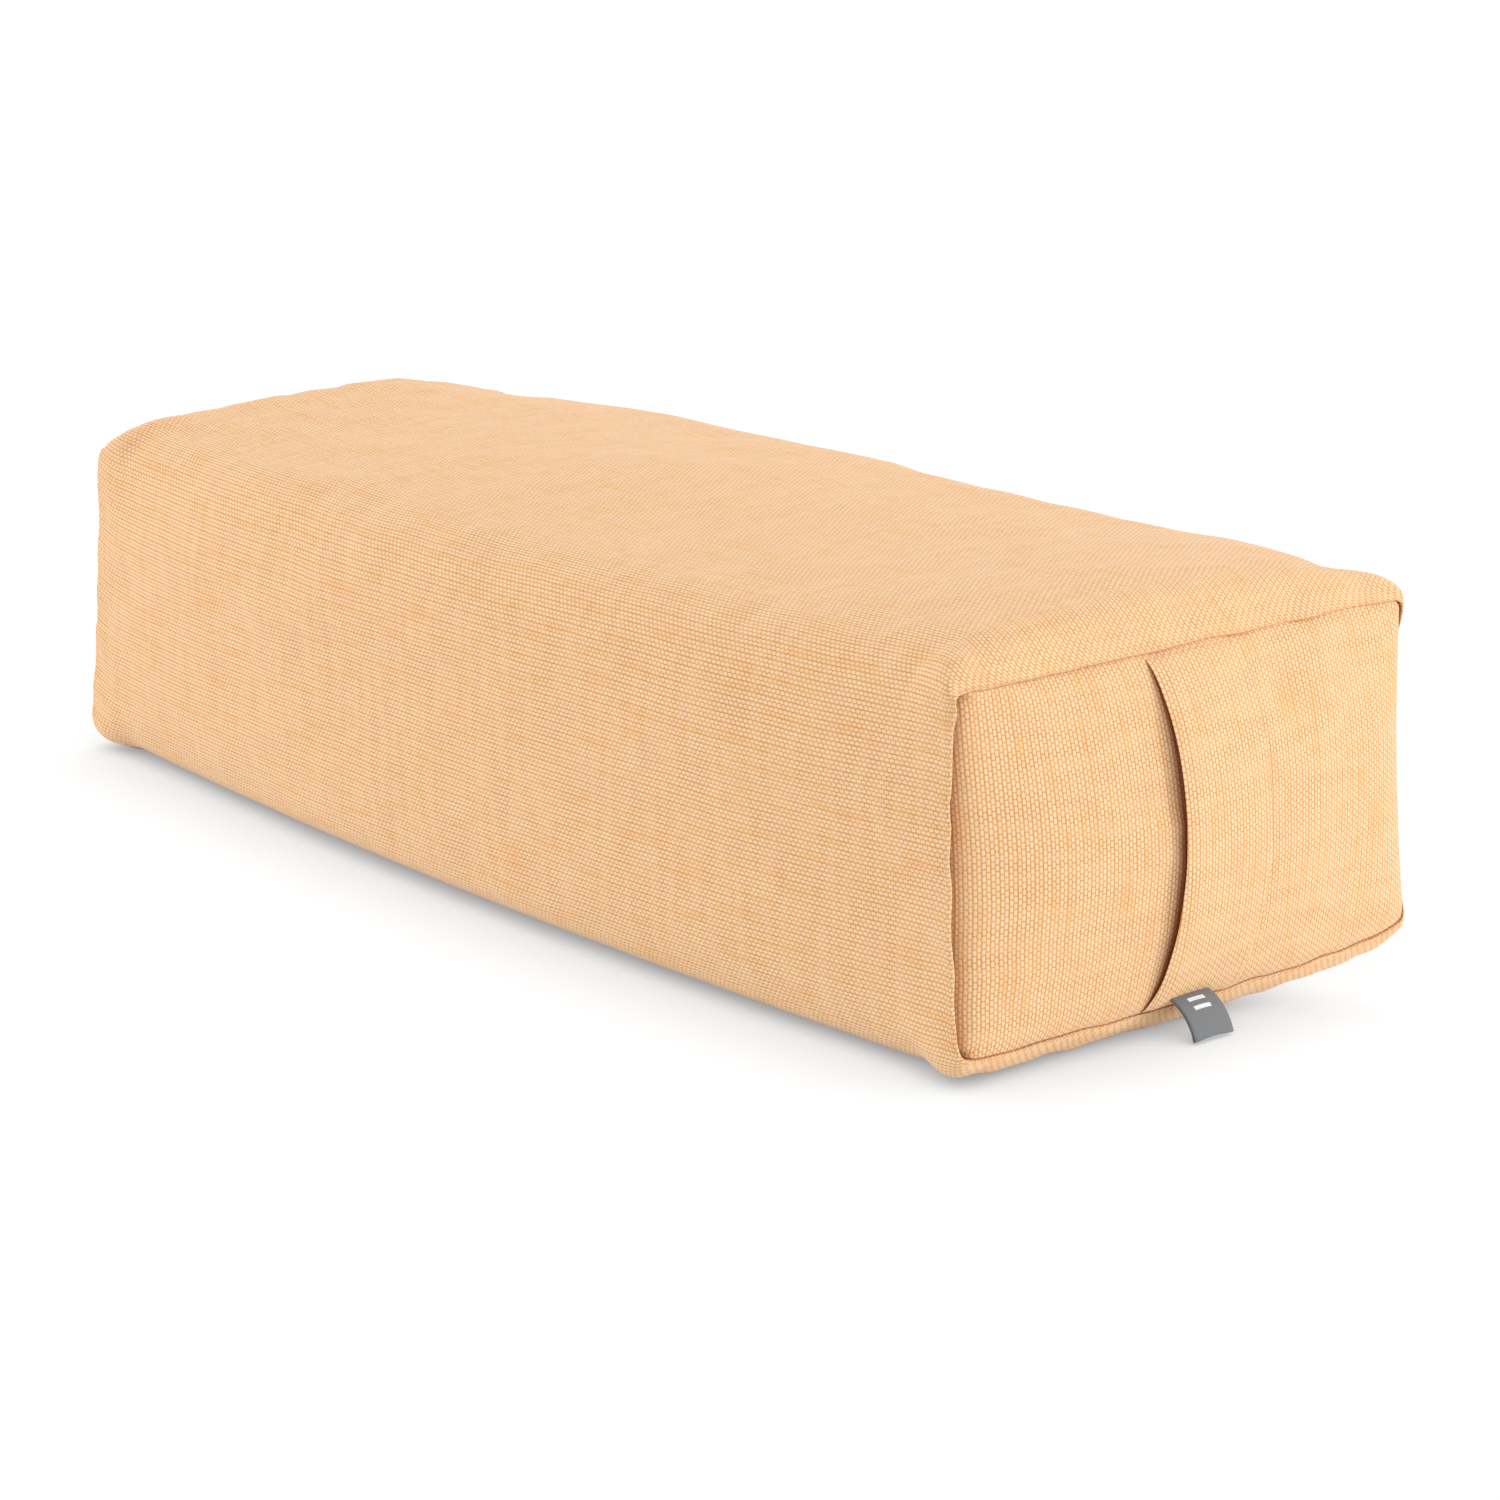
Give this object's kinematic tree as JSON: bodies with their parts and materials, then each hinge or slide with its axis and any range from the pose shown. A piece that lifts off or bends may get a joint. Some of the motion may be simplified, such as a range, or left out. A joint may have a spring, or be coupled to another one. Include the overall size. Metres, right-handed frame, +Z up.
{
  "type": "yoga bolster",
  "caption": "Rectangular stuffed floor bolster in a zipped fabric cover, with a band handle over one end panel and a folded tag in its bottom seam.",
  "frame": {"origin": "on the floor, under the middle of the cushion, halfway between its two end seams", "axes": "+X towards the end with the handle, +Y towards the long side with the zip, +Z up"},
  "size_m": [0.6949, 0.288, 0.173],
  "materials": {
    "cover_fabric": "basket-weave cotton, orange and cream yarns, matt",
    "tag_fabric": "fine woven grey tag, plain",
    "zip_tape": "ribbed woven polyester tape, dyed to match",
    "zip_coil": "nylon coil, satin",
    "zip_metal": "plated zinc, satin",
    "inner_cotton": "plain unbleached cotton",
    "fibre_filling": "loose fibre stuffing"
  },
  "bodies": {
    "cushion": {"cover_wrap": "cover_fabric", "end_panel_front": "cover_fabric", "end_panel_rear": "cover_fabric", "handle_strap_top": "cover_fabric", "handle_strap_bottom": "cover_fabric", "label_seam_end": "tag_fabric", "zip_tape_upper": "zip_tape", "zip_tape_lower": "zip_tape", "zip_coil_upper": "zip_coil", "zip_coil_lower": "zip_coil", "zip_top_stop_upper": "zip_metal", "zip_top_stop_lower": "zip_metal", "zip_bottom_stop": "zip_metal", "inner_wrap": "inner_cotton", "inner_end_front": "inner_cotton", "inner_end_rear": "inner_cotton", "filling": "fibre_filling"},
    "handle": {"handle_grip": "cover_fabric"},
    "tag": {"label": "tag_fabric"},
    "slider": {"zip_slider": "zip_metal"},
    "pull": {"zip_pull": "zip_metal"}
  },
  "joints": [
    {"name": "handle_lift", "type": "slide", "parent": "cushion", "child": "handle", "axis": [1, 0, 0], "range_m": [0, 0.024]},
    {"name": "tag_flap", "type": "hinge", "parent": "cushion", "child": "tag", "pos_m": [0.3323, -0.0055, 0.00952], "axis": [0, 1, 0], "range_deg": [-60, 0], "stiffness_Nm_per_rad": 0.002},
    {"name": "zip_slide", "type": "slide", "parent": "cushion", "child": "slider", "axis": [1, 0, 0], "range_m": [-0.424, 0]},
    {"name": "pull_flip", "type": "hinge", "parent": "slider", "child": "pull", "pos_m": [0.21245, 0.1409, 0.06], "axis": [0, 0, 1], "range_deg": [-165, 0]}
  ]
}
